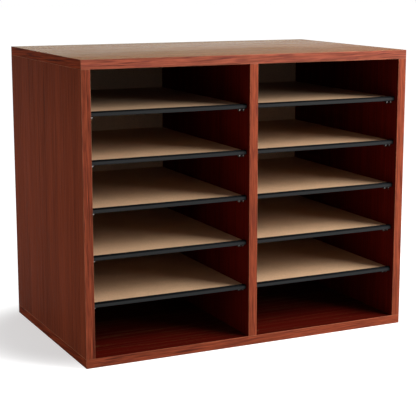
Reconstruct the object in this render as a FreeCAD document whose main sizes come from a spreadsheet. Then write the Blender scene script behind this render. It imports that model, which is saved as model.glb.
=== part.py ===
import FreeCAD, Part
import os
import Sketcher

# Literature organizer: a laminated case with a divider down its middle and five
# removable shelves on pins in each of its two columns. Everything is in millimetres.
# +X is to the right, +Y to the back and +Z up. The origin is under the middle of the
# case, on the surface that it stands on.

SHELF_ROWS = 5
UPRIGHTS = 3
DOWELS_PER_JOINT = 3
PINS_PER_SIDE = 2
NAIL_ROWS = 2
NAILS_PER_ROW = 5
NAILS_PER_COLUMN = 4
HALF_TURN = 180
LEVEL_TOLERANCE = 0.001

# Each size below is set by itself. Whatever fits another piece is worked out from these.
DRIVING_SIZES = {
    "case_width": 495.3,
    "case_depth": 304.8,
    "case_height": 408.0,
    "panel_thickness": 12.7,
    "band_thickness": 0.5,
    "band_edge_radius": 0.3,
    "back_thickness": 3.2,
    "back_lap": 6.35,
    "back_inset": 1.0,
    "back_edge_gap": 0.4,
    "shelf_thickness": 3.2,
    "shelf_side_gap": 1.6,
    "shelf_back_gap": 1.5,
    "shelf_recess": 6.35,
    "shelf_pitch": 63.5,
    "lowest_shelf_rise": 69.1,
    "shelf_rest_gap": 0.25,
    "molding_depth": 6.0,
    "molding_wall": 1.4,
    "molding_lip": 1.6,
    "molding_front_radius": 1.1,
    "molding_lip_radius": 0.6,
    "pin_diameter": 6.35,
    "pin_reach": 8.3,
    "pin_tip_radius": 1.2,
    "pin_neck_diameter": 5.2,
    "pin_neck_length": 1.4,
    "pin_collar_diameter": 6.7,
    "pin_collar_thickness": 1.2,
    "pin_shank_diameter": 5.0,
    "pin_end_gap": 0.35,
    "pin_setback": 19.0,
    "pin_row_spacing": 228.6,
    "dowel_diameter": 6.0,
    "dowel_length": 30.0,
    "dowel_cap_grip": 8.0,
    "dowel_end_gap": 0.5,
    "dowel_setback": 42.0,
    "nail_diameter": 1.2,
    "nail_length": 19.0,
    "nail_head_diameter": 3.0,
    "nail_head_thickness": 0.6,
    "nail_inset": 32.0,
}

# The case, worked out from the driving sizes.
CORE_WIDTH = "(Sizes.case_width - 2 * Sizes.band_thickness)"
CORE_DEPTH = "(Sizes.case_depth - Sizes.band_thickness)"
UPRIGHT_HEIGHT = "(Sizes.case_height - 2 * Sizes.panel_thickness)"
CASE_LEFT = "(-Sizes.case_width / 2)"
CASE_FRONT = "(-Sizes.case_depth / 2)"
CORE_FRONT = f"({CASE_FRONT} + Sizes.band_thickness)"

# The rabbet is deep enough for the back panel and the nail heads behind it.
RABBET_DEPTH = "(Sizes.back_thickness + Sizes.back_inset)"
RABBET_CORNER = "(Sizes.panel_thickness - Sizes.back_lap)"
BACK_CORNER = f"({RABBET_CORNER} + Sizes.back_edge_gap)"
BACK_WIDTH = f"(Sizes.case_width - 2 * {BACK_CORNER})"
BACK_HEIGHT = f"(Sizes.case_height - 2 * {BACK_CORNER})"
CORE_TO_RABBET = f"({CORE_DEPTH} - {RABBET_DEPTH})"

# A shelf's board ends inside its molding at the front.
COLUMN_WIDTH = "((Sizes.case_width - 3 * Sizes.panel_thickness) / 2)"
COLUMN_OFFSET = f"(({COLUMN_WIDTH} + Sizes.panel_thickness) / 2)"
SHELF_WIDTH = f"({COLUMN_WIDTH} - 2 * Sizes.shelf_side_gap)"
BOARD_START = "(Sizes.shelf_recess + Sizes.molding_wall)"
BOARD_DEPTH = f"(Sizes.case_depth - {RABBET_DEPTH} - Sizes.shelf_back_gap - {BOARD_START})"
LOWEST_BOARD = "(Sizes.panel_thickness + Sizes.lowest_shelf_rise)"
MOLDING_HEIGHT = "(Sizes.shelf_thickness + 2 * Sizes.molding_lip)"

# Pins meet their holes at half the panel's thickness, so two pins share one hole
# through the divider.
PIN_HOLE_DEPTH = "(Sizes.panel_thickness / 2)"
PIN_SHANK_LENGTH = f"({PIN_HOLE_DEPTH} - Sizes.pin_end_gap)"
PIN_BELOW_BOARD = "(Sizes.shelf_rest_gap + Sizes.pin_diameter / 2)"
LOWEST_PIN_RISE = f"(Sizes.lowest_shelf_rise - {PIN_BELOW_BOARD})"
PIN_ROWS_RISE = f"(Sizes.shelf_pitch * {SHELF_ROWS - 1})"

DOWEL_ROW = "(Sizes.case_depth - 2 * Sizes.dowel_setback)"
DOWEL_FROM_CORE_FRONT = "(Sizes.dowel_setback - Sizes.band_thickness)"
UPRIGHT_SPACING = "(Sizes.case_width - Sizes.panel_thickness)"

NAIL_GRIP = "(Sizes.nail_length - Sizes.back_thickness)"
NAIL_ROW = f"(Sizes.case_width - 2 * ({RABBET_CORNER} + Sizes.nail_inset))"
NAIL_COLUMN = f"({UPRIGHT_HEIGHT} - 2 * Sizes.nail_inset)"
NAIL_COLUMN_SPACING = "(Sizes.case_width - 2 * Sizes.panel_thickness + Sizes.back_lap)"
NAIL_ROW_SPACING = "(Sizes.case_height - 2 * Sizes.panel_thickness + Sizes.back_lap)"
NAIL_INTO_PANEL = "(Sizes.panel_thickness - Sizes.back_lap / 2)"
NAIL_FROM_BACK_EDGE = "(Sizes.back_lap / 2 - Sizes.back_edge_gap)"

document = FreeCAD.newDocument("LiteratureOrganizer")
cuts = []


# The sheet of driving sizes and its values

def make_sheet():
    sheet = document.addObject("Spreadsheet::Sheet", "Sizes")
    for row, (name, size) in enumerate(DRIVING_SIZES.items(), start=1):
        sheet.set(f"A{row}", name)
        sheet.set(f"B{row}", str(size))
        sheet.setAlias(f"B{row}", name)
    document.recompute()
    return sheet


sizes = make_sheet()


def number(expression):
    """The value in millimetres of an expression on the sheet."""
    return float(sizes.evalExpression(expression))


# Bodies, sketches and features

def new_body(label):
    body = document.addObject("PartDesign::Body", label)
    body.Label = label
    return body


def origin_feature(body, role):
    """One of the body's own origin planes or axes."""
    return [feature for feature in body.Origin.OriginFeatures if feature.Role == role][0]


def new_sketch(body, name, plane, lift="0"):
    """An empty sketch on an origin plane, lifted from it along its normal."""
    sketch = body.newObject("Sketcher::SketchObject", f"{body.Label}_{name}")
    sketch.AttachmentSupport = [(origin_feature(body, plane), "")]
    sketch.MapMode = "FlatFace"
    sketch.setExpression("AttachmentOffset.Base.z", lift)
    return sketch


def hold_point(sketch, element, end, across, along):
    """Fix a point of the sketch at a distance from its origin."""
    for kind, expression in (("DistanceX", across), ("DistanceY", along)):
        distance = Sketcher.Constraint(kind, -1, 1, element, end, number(expression))
        held = sketch.addConstraint(distance)
        sketch.setExpression(f"Constraints[{held}]", expression)


def draw_outline(sketch, corners):
    """A closed outline through corners, each a pair of expressions."""
    points = [FreeCAD.Vector(number(across), number(along), 0) for across, along in corners]
    following = points[1:] + points[:1]
    for start, end in zip(points, following):
        sketch.addGeometry(Part.LineSegment(start, end), False)
    for line in range(len(corners)):
        next_line = (line + 1) % len(corners)
        sketch.addConstraint(Sketcher.Constraint("Coincident", line, 2, next_line, 1))
    for line, (across, along) in enumerate(corners):
        hold_point(sketch, line, 1, across, along)


def draw_rectangle(sketch, left, low, width, height):
    right = f"({left} + {width})"
    high = f"({low} + {height})"
    draw_outline(sketch, [(left, low), (right, low), (right, high), (left, high)])


def draw_circle(sketch, across, along, diameter):
    centre = FreeCAD.Vector(number(across), number(along), 0)
    circle = Part.Circle(centre, FreeCAD.Vector(0, 0, 1), number(diameter) / 2)
    element = sketch.addGeometry(circle, False)
    hold_point(sketch, element, 3, across, along)
    width = sketch.addConstraint(Sketcher.Constraint("Diameter", element, number(diameter)))
    sketch.setExpression(f"Constraints[{width}]", diameter)


def add_pad(body, sketch, length, reverse=False):
    pad = body.newObject("PartDesign::Pad", f"{sketch.Name}_pad")
    pad.Profile = sketch
    pad.Reversed = reverse
    pad.setExpression("Length", length)
    return pad


def add_pocket(body, sketch, depth, reverse=False):
    pocket = body.newObject("PartDesign::Pocket", f"{sketch.Name}_pocket")
    pocket.Profile = sketch
    pocket.Reversed = reverse
    pocket.setExpression("Length", depth)
    cuts.append(pocket)
    return pocket


def add_grid(body, originals, axis, extent, count, other_axis=None, other_extent="0", other_count=1):
    """Repeat features evenly along one axis, or along two."""
    grid = body.newObject("PartDesign::LinearPattern", f"{originals[0].Name}_grid")
    grid.Originals = originals
    grid.Direction = (origin_feature(body, axis), [""])
    grid.setExpression("Length", extent)
    grid.Occurrences = count
    if other_axis:
        grid.Direction2 = (origin_feature(body, other_axis), [""])
        grid.setExpression("Length2", other_extent)
        grid.Occurrences2 = other_count
    body.Tip = grid
    return grid


def add_fillet(body, name, radius, chosen):
    """Round the edges of the body that the chosen test picks."""
    document.recompute()
    base = body.Tip
    names = [f"Edge{index}" for index, edge in enumerate(base.Shape.Edges, start=1) if chosen(edge)]
    fillet = body.newObject("PartDesign::Fillet", f"{body.Label}_{name}")
    fillet.Base = (base, names)
    fillet.setExpression("Radius", radius)
    return fillet


def edge_lies_at(edge, axis, level):
    """Whether all of an edge lies at one level along an axis of its body."""
    box = edge.BoundBox
    low = getattr(box, f"{axis}Min")
    high = getattr(box, f"{axis}Max")
    return abs(low - level) < LEVEL_TOLERANCE and abs(high - level) < LEVEL_TOLERANCE


def edge_runs_along(edge, axis):
    """Whether an edge is straight and parallel to an axis of its body."""
    box = edge.BoundBox
    return box.DiagonalLength - getattr(box, f"{axis}Length") < LEVEL_TOLERANCE


def place(body, across, back, up):
    body.setExpression("Placement.Base.x", across)
    body.setExpression("Placement.Base.y", back)
    body.setExpression("Placement.Base.z", up)


def place_as_bottom(body):
    place(body, f"{CASE_LEFT} + Sizes.band_thickness", CORE_FRONT, "0")


def place_as_top(body):
    """Turn a piece of the bottom over, so that it serves the top."""
    body.Placement.Rotation = FreeCAD.Rotation(FreeCAD.Vector(0, 1, 0), HALF_TURN)
    place(body, f"-({CASE_LEFT} + Sizes.band_thickness)", CORE_FRONT, "Sizes.case_height")


# Case panels

def make_cap_panel(label):
    """The top or the bottom panel, lying with its inner face up."""
    body = new_body(label)
    outline = new_sketch(body, "outline", "XY_Plane")
    draw_rectangle(outline, "0", "0", CORE_WIDTH, CORE_DEPTH)
    add_pad(body, outline, "Sizes.panel_thickness")

    rabbet = new_sketch(body, "rabbet", "XY_Plane", "Sizes.panel_thickness")
    rabbet_left = f"({RABBET_CORNER} - Sizes.band_thickness)"
    rabbet_width = f"({CORE_WIDTH} - 2 * {rabbet_left})"
    draw_rectangle(rabbet, rabbet_left, CORE_TO_RABBET, rabbet_width, RABBET_DEPTH)
    add_pocket(body, rabbet, "Sizes.back_lap")

    socket = new_sketch(body, "dowel_socket", "XY_Plane", "Sizes.panel_thickness")
    first_upright = "(Sizes.panel_thickness / 2 - Sizes.band_thickness)"
    draw_circle(socket, first_upright, DOWEL_FROM_CORE_FRONT, "Sizes.dowel_diameter")
    sockets = add_pocket(body, socket, "Sizes.dowel_cap_grip + Sizes.dowel_end_gap")
    add_grid(body, [sockets], "X_Axis", UPRIGHT_SPACING, UPRIGHTS,
             "Y_Axis", DOWEL_ROW, DOWELS_PER_JOINT)

    nail_hole = new_sketch(body, "nail_hole", "XZ_Plane", f"-{CORE_TO_RABBET}")
    first_nail = f"({RABBET_CORNER} + Sizes.nail_inset - Sizes.band_thickness)"
    draw_circle(nail_hole, first_nail, NAIL_INTO_PANEL, "Sizes.nail_diameter")
    nail_holes = add_pocket(body, nail_hole, NAIL_GRIP, reverse=True)
    add_grid(body, [nail_holes], "X_Axis", NAIL_ROW, NAILS_PER_ROW)
    return body


def make_upright(label, depth, nail_line):
    """A plain upright with dowel sockets in both ends and nail holes at the back."""
    body = new_body(label)
    outline = new_sketch(body, "outline", "YZ_Plane")
    draw_rectangle(outline, "0", "0", depth, UPRIGHT_HEIGHT)
    add_pad(body, outline, "Sizes.panel_thickness")

    depth_of_socket = "Sizes.dowel_length - Sizes.dowel_cap_grip + Sizes.dowel_end_gap"
    for end, level, upward in (("lower", "0", True), ("upper", UPRIGHT_HEIGHT, False)):
        socket = new_sketch(body, f"{end}_dowel_socket", "XY_Plane", level)
        middle = "(Sizes.panel_thickness / 2)"
        draw_circle(socket, middle, DOWEL_FROM_CORE_FRONT, "Sizes.dowel_diameter")
        sockets = add_pocket(body, socket, depth_of_socket, reverse=upward)
        add_grid(body, [sockets], "Y_Axis", DOWEL_ROW, DOWELS_PER_JOINT)

    nail_hole = new_sketch(body, "nail_hole", "XZ_Plane", f"-{CORE_TO_RABBET}")
    draw_circle(nail_hole, nail_line, "Sizes.nail_inset", "Sizes.nail_diameter")
    nail_holes = add_pocket(body, nail_hole, NAIL_GRIP, reverse=True)
    add_grid(body, [nail_holes], "Z_Axis", NAIL_COLUMN, NAILS_PER_COLUMN)
    return body


def drill_pin_holes(body, face, depth, rightward):
    """Two columns of shelf pin holes, drilled from one face of an upright."""
    hole = new_sketch(body, "pin_hole", "YZ_Plane", face)
    front_pin = "(Sizes.pin_setback - Sizes.band_thickness)"
    draw_circle(hole, front_pin, LOWEST_PIN_RISE, "Sizes.pin_shank_diameter")
    holes = add_pocket(body, hole, depth, reverse=rightward)
    add_grid(body, [holes], "Y_Axis", "Sizes.pin_row_spacing", PINS_PER_SIDE,
             "Z_Axis", PIN_ROWS_RISE, SHELF_ROWS)


def make_side_panel(label, is_left):
    """A side panel, rabbeted for the back panel and drilled on its inner face."""
    nail_line = NAIL_INTO_PANEL if is_left else "(Sizes.back_lap / 2)"
    body = make_upright(label, CORE_DEPTH, nail_line)
    inner_face = "Sizes.panel_thickness" if is_left else "0"
    rabbet = new_sketch(body, "rabbet", "YZ_Plane", inner_face)
    draw_rectangle(rabbet, CORE_TO_RABBET, "0", RABBET_DEPTH, UPRIGHT_HEIGHT)
    add_pocket(body, rabbet, "Sizes.back_lap", reverse=not is_left)
    drill_pin_holes(body, inner_face, PIN_HOLE_DEPTH, rightward=not is_left)
    left = CASE_LEFT if is_left else f"-{CASE_LEFT} - Sizes.panel_thickness"
    place(body, left, CORE_FRONT, "Sizes.panel_thickness")
    return body


def make_divider():
    """The divider stops at the back panel, and its pin holes go right through."""
    middle = "(Sizes.panel_thickness / 2)"
    body = make_upright("centre_divider", CORE_TO_RABBET, middle)
    drill_pin_holes(body, "0", "Sizes.panel_thickness", rightward=True)
    place(body, f"-{middle}", CORE_FRONT, "Sizes.panel_thickness")
    return body


def place_in_rabbets(body):
    back = f"-{CASE_FRONT} - {RABBET_DEPTH}"
    place(body, f"{CASE_LEFT} + {BACK_CORNER}", back, BACK_CORNER)


def draw_first_nails(body, name, lift, diameter):
    """Two sketches: the first nail of the rows and the first nail of the columns."""
    row = new_sketch(body, f"{name}_in_row", "XZ_Plane", lift)
    along_row = "(Sizes.nail_inset - Sizes.back_edge_gap)"
    draw_circle(row, along_row, NAIL_FROM_BACK_EDGE, diameter)
    column = new_sketch(body, f"{name}_in_column", "XZ_Plane", lift)
    up_column = "(Sizes.nail_inset + Sizes.back_lap - Sizes.back_edge_gap)"
    draw_circle(column, NAIL_FROM_BACK_EDGE, up_column, diameter)
    return row, column


def repeat_nails(body, row_features, column_features):
    """Rows along the top and bottom, and a column on each upright."""
    add_grid(body, row_features, "X_Axis", NAIL_ROW, NAILS_PER_ROW,
             "Z_Axis", NAIL_ROW_SPACING, NAIL_ROWS)
    add_grid(body, column_features, "Z_Axis", NAIL_COLUMN, NAILS_PER_COLUMN,
             "X_Axis", NAIL_COLUMN_SPACING, UPRIGHTS)


def make_back_panel():
    body = new_body("back_panel")
    outline = new_sketch(body, "outline", "XZ_Plane")
    draw_rectangle(outline, "0", "0", BACK_WIDTH, BACK_HEIGHT)
    add_pad(body, outline, "Sizes.back_thickness", reverse=True)
    row, column = draw_first_nails(body, "hole", "0", "Sizes.nail_diameter")
    row_hole = add_pocket(body, row, "Sizes.back_thickness")
    column_hole = add_pocket(body, column, "Sizes.back_thickness")
    repeat_nails(body, [row_hole], [column_hole])
    place_in_rabbets(body)
    return body


def make_back_nails():
    """Flat-headed nails, driven through the back panel into the edges behind it."""
    body = new_body("back_panel_nails")
    outer_face = "-Sizes.back_thickness"
    shanks = draw_first_nails(body, "shank", outer_face, "Sizes.nail_diameter")
    heads = draw_first_nails(body, "head", outer_face, "Sizes.nail_head_diameter")
    nails = []
    for shank, head in zip(shanks, heads):
        shank_pad = add_pad(body, shank, "Sizes.nail_length")
        head_pad = add_pad(body, head, "Sizes.nail_head_thickness", reverse=True)
        nails.append([shank_pad, head_pad])
    repeat_nails(body, nails[0], nails[1])
    place_in_rabbets(body)
    return body


def make_dowels(label):
    """Glued dowels, half in the top or bottom panel and half in the uprights."""
    body = new_body(label)
    start = "Sizes.panel_thickness - Sizes.dowel_cap_grip"
    dowel = new_sketch(body, "section", "XY_Plane", start)
    first_upright = "(Sizes.panel_thickness / 2 - Sizes.band_thickness)"
    draw_circle(dowel, first_upright, DOWEL_FROM_CORE_FRONT, "Sizes.dowel_diameter")
    dowel_pad = add_pad(body, dowel, "Sizes.dowel_length")
    add_grid(body, [dowel_pad], "X_Axis", UPRIGHT_SPACING, UPRIGHTS,
             "Y_Axis", DOWEL_ROW, DOWELS_PER_JOINT)
    return body


# Edge bands

def make_front_band(label, width, height, left, low):
    """A band on a front edge, with the edges of its outer face rounded."""
    body = new_body(label)
    outline = new_sketch(body, "outline", "XZ_Plane")
    draw_rectangle(outline, "0", "0", width, height)
    add_pad(body, outline, "Sizes.band_thickness", reverse=True)
    add_fillet(body, "rounding", "Sizes.band_edge_radius",
               lambda edge: edge_lies_at(edge, "Y", 0))
    place(body, left, CASE_FRONT, low)
    return body


def make_end_band(label, is_left, low):
    """A band on a left or right end of the top or bottom panel."""
    body = new_body(label)
    outline = new_sketch(body, "outline", "YZ_Plane")
    draw_rectangle(outline, "0", "0", CORE_DEPTH, "Sizes.panel_thickness")
    add_pad(body, outline, "Sizes.band_thickness")
    outer = 0 if is_left else number("Sizes.band_thickness")
    add_fillet(body, "rounding", "Sizes.band_edge_radius",
               lambda edge: edge_lies_at(edge, "X", outer) and edge_runs_along(edge, "Y"))
    left = CASE_LEFT if is_left else f"-{CASE_LEFT} - Sizes.band_thickness"
    place(body, left, CORE_FRONT, low)
    return body


def make_bands():
    bands = []
    top_level = "Sizes.case_height - Sizes.panel_thickness"
    for name, low in (("top_panel", top_level), ("bottom_panel", "0")):
        bands.append(make_front_band(f"{name}_front_band", "Sizes.case_width",
                                     "Sizes.panel_thickness", CASE_LEFT, low))
        bands.append(make_end_band(f"{name}_left_band", True, low))
        bands.append(make_end_band(f"{name}_right_band", False, low))
    upright_places = (("left_side", CASE_LEFT),
                      ("centre_divider", "-Sizes.panel_thickness / 2"),
                      ("right_side", f"-{CASE_LEFT} - Sizes.panel_thickness"))
    for name, left in upright_places:
        bands.append(make_front_band(f"{name}_front_band", "Sizes.panel_thickness",
                                     UPRIGHT_HEIGHT, left, "Sizes.panel_thickness"))
    return bands


# Shelves

def column_middle(column):
    return f"-{COLUMN_OFFSET}" if column == "left" else COLUMN_OFFSET


def board_level(row):
    """Underside of a shelf's board. Row 1 is the top shelf."""
    return f"{LOWEST_BOARD} + {SHELF_ROWS - row} * Sizes.shelf_pitch"


def make_shelf_board(column, row):
    body = new_body(f"{column}_shelf_{row}_board")
    outline = new_sketch(body, "outline", "XY_Plane")
    draw_rectangle(outline, "0", "0", SHELF_WIDTH, BOARD_DEPTH)
    add_pad(body, outline, "Sizes.shelf_thickness")
    left = f"{column_middle(column)} - {SHELF_WIDTH} / 2"
    place(body, left, f"{CASE_FRONT} + {BOARD_START}", board_level(row))
    return body


def make_shelf_molding(column, row):
    """A channel pushed onto the board's front edge, rounded at its corners."""
    body = new_body(f"{column}_shelf_{row}_molding")
    section = new_sketch(body, "section", "YZ_Plane")
    slot_top = "(Sizes.molding_lip + Sizes.shelf_thickness)"
    draw_outline(section, [
        ("0", "0"),
        ("Sizes.molding_depth", "0"),
        ("Sizes.molding_depth", "Sizes.molding_lip"),
        ("Sizes.molding_wall", "Sizes.molding_lip"),
        ("Sizes.molding_wall", slot_top),
        ("Sizes.molding_depth", slot_top),
        ("Sizes.molding_depth", MOLDING_HEIGHT),
        ("0", MOLDING_HEIGHT),
    ])
    add_pad(body, section, SHELF_WIDTH)
    height = number(MOLDING_HEIGHT)
    depth = number("Sizes.molding_depth")

    def is_outer(edge):
        faces_out = edge_lies_at(edge, "Z", 0) or edge_lies_at(edge, "Z", height)
        return faces_out and edge_runs_along(edge, "X")

    add_fillet(body, "front_rounding", "Sizes.molding_front_radius",
               lambda edge: is_outer(edge) and edge_lies_at(edge, "Y", 0))
    add_fillet(body, "lip_rounding", "Sizes.molding_lip_radius",
               lambda edge: is_outer(edge) and edge_lies_at(edge, "Y", depth))
    left = f"{column_middle(column)} - {SHELF_WIDTH} / 2"
    low = f"{board_level(row)} - Sizes.molding_lip"
    place(body, left, f"{CASE_FRONT} + Sizes.shelf_recess", low)
    return body


def make_shelf_pins(column, row):
    """Four pins under one shelf: a turned pin, repeated to the back and mirrored."""
    body = new_body(f"{column}_shelf_{row}_pins")
    section = new_sketch(body, "section", "XY_Plane")
    wall = f"(-{COLUMN_WIDTH} / 2)"
    collar_end = f"({wall} + Sizes.pin_collar_thickness)"
    neck_end = f"({collar_end} + Sizes.pin_neck_length)"
    shank_end = f"({wall} - {PIN_SHANK_LENGTH})"
    tip = f"({wall} + Sizes.pin_reach)"
    shank_radius = "(Sizes.pin_shank_diameter / 2)"
    collar_radius = "(Sizes.pin_collar_diameter / 2)"
    neck_radius = "(Sizes.pin_neck_diameter / 2)"
    barrel_radius = "(Sizes.pin_diameter / 2)"
    draw_outline(section, [
        (shank_end, "0"),
        (shank_end, shank_radius),
        (wall, shank_radius),
        (wall, collar_radius),
        (collar_end, collar_radius),
        (collar_end, neck_radius),
        (neck_end, neck_radius),
        (neck_end, barrel_radius),
        (tip, barrel_radius),
        (tip, "0"),
    ])
    turned = body.newObject("PartDesign::Revolution", f"{body.Label}_turning")
    turned.Profile = section
    turned.ReferenceAxis = (origin_feature(body, "X_Axis"), [""])
    turned.Angle = 2 * HALF_TURN
    tip_level = number(tip)
    add_fillet(body, "tip_rounding", "Sizes.pin_tip_radius",
               lambda edge: edge_lies_at(edge, "X", tip_level))

    document.recompute()
    group = body.newObject("PartDesign::MultiTransform", f"{body.Label}_group")
    group.TransformMode = "Whole shape"
    to_back = body.newObject("PartDesign::LinearPattern", f"{body.Label}_to_back")
    to_back.Direction = (origin_feature(body, "Y_Axis"), [""])
    to_back.setExpression("Length", "Sizes.pin_row_spacing")
    to_back.Occurrences = PINS_PER_SIDE
    across = body.newObject("PartDesign::Mirrored", f"{body.Label}_across")
    across.MirrorPlane = (origin_feature(body, "YZ_Plane"), [""])
    group.Transformations = [to_back, across]
    body.Tip = group
    front = f"{CASE_FRONT} + Sizes.pin_setback"
    place(body, column_middle(column), front, f"{board_level(row)} - {PIN_BELOW_BOARD}")
    return body


def make_shelves():
    pieces = []
    for column in ("left", "right"):
        for row in range(1, SHELF_ROWS + 1):
            pieces.append(make_shelf_board(column, row))
            pieces.append(make_shelf_molding(column, row))
            pieces.append(make_shelf_pins(column, row))
    return pieces


# Checks and files

def make_pieces():
    bottom_panel = make_cap_panel("bottom_panel")
    bottom_dowels = make_dowels("bottom_panel_dowels")
    top_panel = make_cap_panel("top_panel")
    top_dowels = make_dowels("top_panel_dowels")
    place_as_bottom(bottom_panel)
    place_as_bottom(bottom_dowels)
    place_as_top(top_panel)
    place_as_top(top_dowels)
    pieces = [bottom_panel, bottom_dowels, top_panel, top_dowels]
    pieces.append(make_side_panel("left_side_panel", is_left=True))
    pieces.append(make_side_panel("right_side_panel", is_left=False))
    pieces.append(make_divider())
    pieces.append(make_back_panel())
    pieces.append(make_back_nails())
    return pieces + make_bands() + make_shelves()


def check_document(pieces):
    document.recompute()
    for item in document.Objects:
        if "Invalid" in item.State or "Error" in item.State:
            raise RuntimeError(f"{item.Name} failed: {item.State}")
    for cut in cuts:
        if cut.Shape.Volume >= cut.BaseFeature.Shape.Volume:
            raise RuntimeError(f"{cut.Name} cuts nothing")
    for piece in pieces:
        if piece.Shape.isNull() or not piece.Shape.isValid():
            raise RuntimeError(f"{piece.Label} has no valid shape")


def write_files(pieces):
    os.makedirs("parts", exist_ok=True)
    for piece in pieces:
        piece.Shape.exportStep(os.path.join("parts", f"{piece.Label}.step"))
        print(piece.Label, len(piece.Shape.Solids), round(piece.Shape.Volume, 1))


all_pieces = make_pieces()
check_document(all_pieces)
write_files(all_pieces)
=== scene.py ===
import math

import bmesh
import bpy
from mathutils import Matrix, Vector


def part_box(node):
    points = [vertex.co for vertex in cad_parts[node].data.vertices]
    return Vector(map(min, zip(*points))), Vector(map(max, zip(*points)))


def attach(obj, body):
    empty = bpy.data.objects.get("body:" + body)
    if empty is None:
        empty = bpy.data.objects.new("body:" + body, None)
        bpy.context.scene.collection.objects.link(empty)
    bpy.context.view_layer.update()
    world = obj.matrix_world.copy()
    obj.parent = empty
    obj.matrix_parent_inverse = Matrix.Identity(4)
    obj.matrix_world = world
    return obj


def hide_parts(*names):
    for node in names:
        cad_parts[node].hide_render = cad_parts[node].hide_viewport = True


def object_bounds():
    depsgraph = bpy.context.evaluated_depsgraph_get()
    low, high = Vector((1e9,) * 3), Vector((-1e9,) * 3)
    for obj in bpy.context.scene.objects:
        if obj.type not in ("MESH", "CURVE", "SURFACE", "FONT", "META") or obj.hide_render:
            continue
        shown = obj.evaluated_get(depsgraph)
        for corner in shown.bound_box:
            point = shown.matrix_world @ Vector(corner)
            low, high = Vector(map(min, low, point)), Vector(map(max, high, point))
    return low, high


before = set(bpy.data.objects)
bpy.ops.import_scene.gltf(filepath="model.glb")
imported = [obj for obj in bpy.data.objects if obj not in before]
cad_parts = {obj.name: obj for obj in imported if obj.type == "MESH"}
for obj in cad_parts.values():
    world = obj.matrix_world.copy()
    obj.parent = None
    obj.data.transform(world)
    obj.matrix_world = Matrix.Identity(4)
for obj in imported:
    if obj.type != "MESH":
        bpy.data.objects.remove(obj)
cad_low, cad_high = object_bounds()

# A literature organizer: a laminated case with a divider and ten removable shelves.
# Everything is in metres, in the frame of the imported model: +X to the right, +Y to the
# back, +Z up, and the origin on the floor under the middle of the case.

bl_info = {
    "name": "Literature organizer",
    "version": (1, 0, 0),
    "blender": (4, 5, 0),
    "location": "3D View > Sidebar > Organizer",
    "description": "Dresses the packed organizer with its panels, bands, shelves and pins",
    "category": "Object",
}

MM = 0.001
COLUMNS = ("left", "right")
SHELF_ROWS = (1, 2, 3, 4, 5)
SHELVES = [f"{column}_shelf_{row}" for column in COLUMNS for row in SHELF_ROWS]
CASE_BODY = "case"
ACROSS, DEEP, UP = 0, 1, 2
FRONT_Y = cad_low[DEEP]
BACK_Y = cad_high[DEEP]

# The direction in which each panel's wood grain runs, and the sides of the panel that
# look into the case, each as an axis and a sign.
# The faces that look into the case are coloured darker: painted shade.
PANELS = {
    "top_panel": (ACROSS, ((UP, -1),)),
    "bottom_panel": (ACROSS, ((UP, 1),)),
    "left_side_panel": (UP, ((ACROSS, 1),)),
    "right_side_panel": (UP, ((ACROSS, -1),)),
    "centre_divider": (UP, ((ACROSS, -1), (ACROSS, 1))),
}
TOP_FRONT_BAND = "top_panel_front_band"
BAND_GRAIN = {
    TOP_FRONT_BAND: ACROSS,
    "bottom_panel_front_band": ACROSS,
    "top_panel_left_band": DEEP,
    "top_panel_right_band": DEEP,
    "bottom_panel_left_band": DEEP,
    "bottom_panel_right_band": DEEP,
    "left_side_front_band": UP,
    "centre_divider_front_band": UP,
    "right_side_front_band": UP,
}
DOWELS = ("top_panel_dowels", "bottom_panel_dowels")
NAILS = "back_panel_nails"

QUARTER_TURN = math.pi / 2

WHITE = (1.0, 1.0, 1.0, 1.0)
UNSCALED = (1.0, 1.0, 1.0)
EDGE_ATTRIBUTE = "rounded_edge"
WELD_DISTANCE = 0.005 * MM
FLAT_ANGLE = math.radians(1)
ALIGNED = 0.999
SHARP_ANGLE = math.radians(50)


def colour_setting(name, description, default):
    return bpy.props.FloatVectorProperty(
        name=name, description=description, default=default,
        subtype="COLOR", size=4, min=0.0, max=1.0,
    )


def length_setting(name, description, default):
    return bpy.props.FloatProperty(
        name=name, description=description, default=default, min=0.0,
        unit="LENGTH", subtype="DISTANCE", precision=5,
    )


def share_setting(name, description, default):
    return bpy.props.FloatProperty(
        name=name, description=description, default=default, min=0.0, max=1.0,
        subtype="FACTOR",
    )


def place_setting(name, description, default):
    return bpy.props.FloatVectorProperty(
        name=name, description=description, default=default, size=3, unit="LENGTH",
        subtype="TRANSLATION",
    )


def angle_setting(name, description, degrees):
    return bpy.props.FloatProperty(
        name=name, description=description, default=math.radians(degrees),
        unit="ROTATION", subtype="ANGLE",
    )


def power_setting(name, description, default):
    return bpy.props.FloatProperty(
        name=name, description=description, default=default, min=0.0, unit="POWER",
    )


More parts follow.
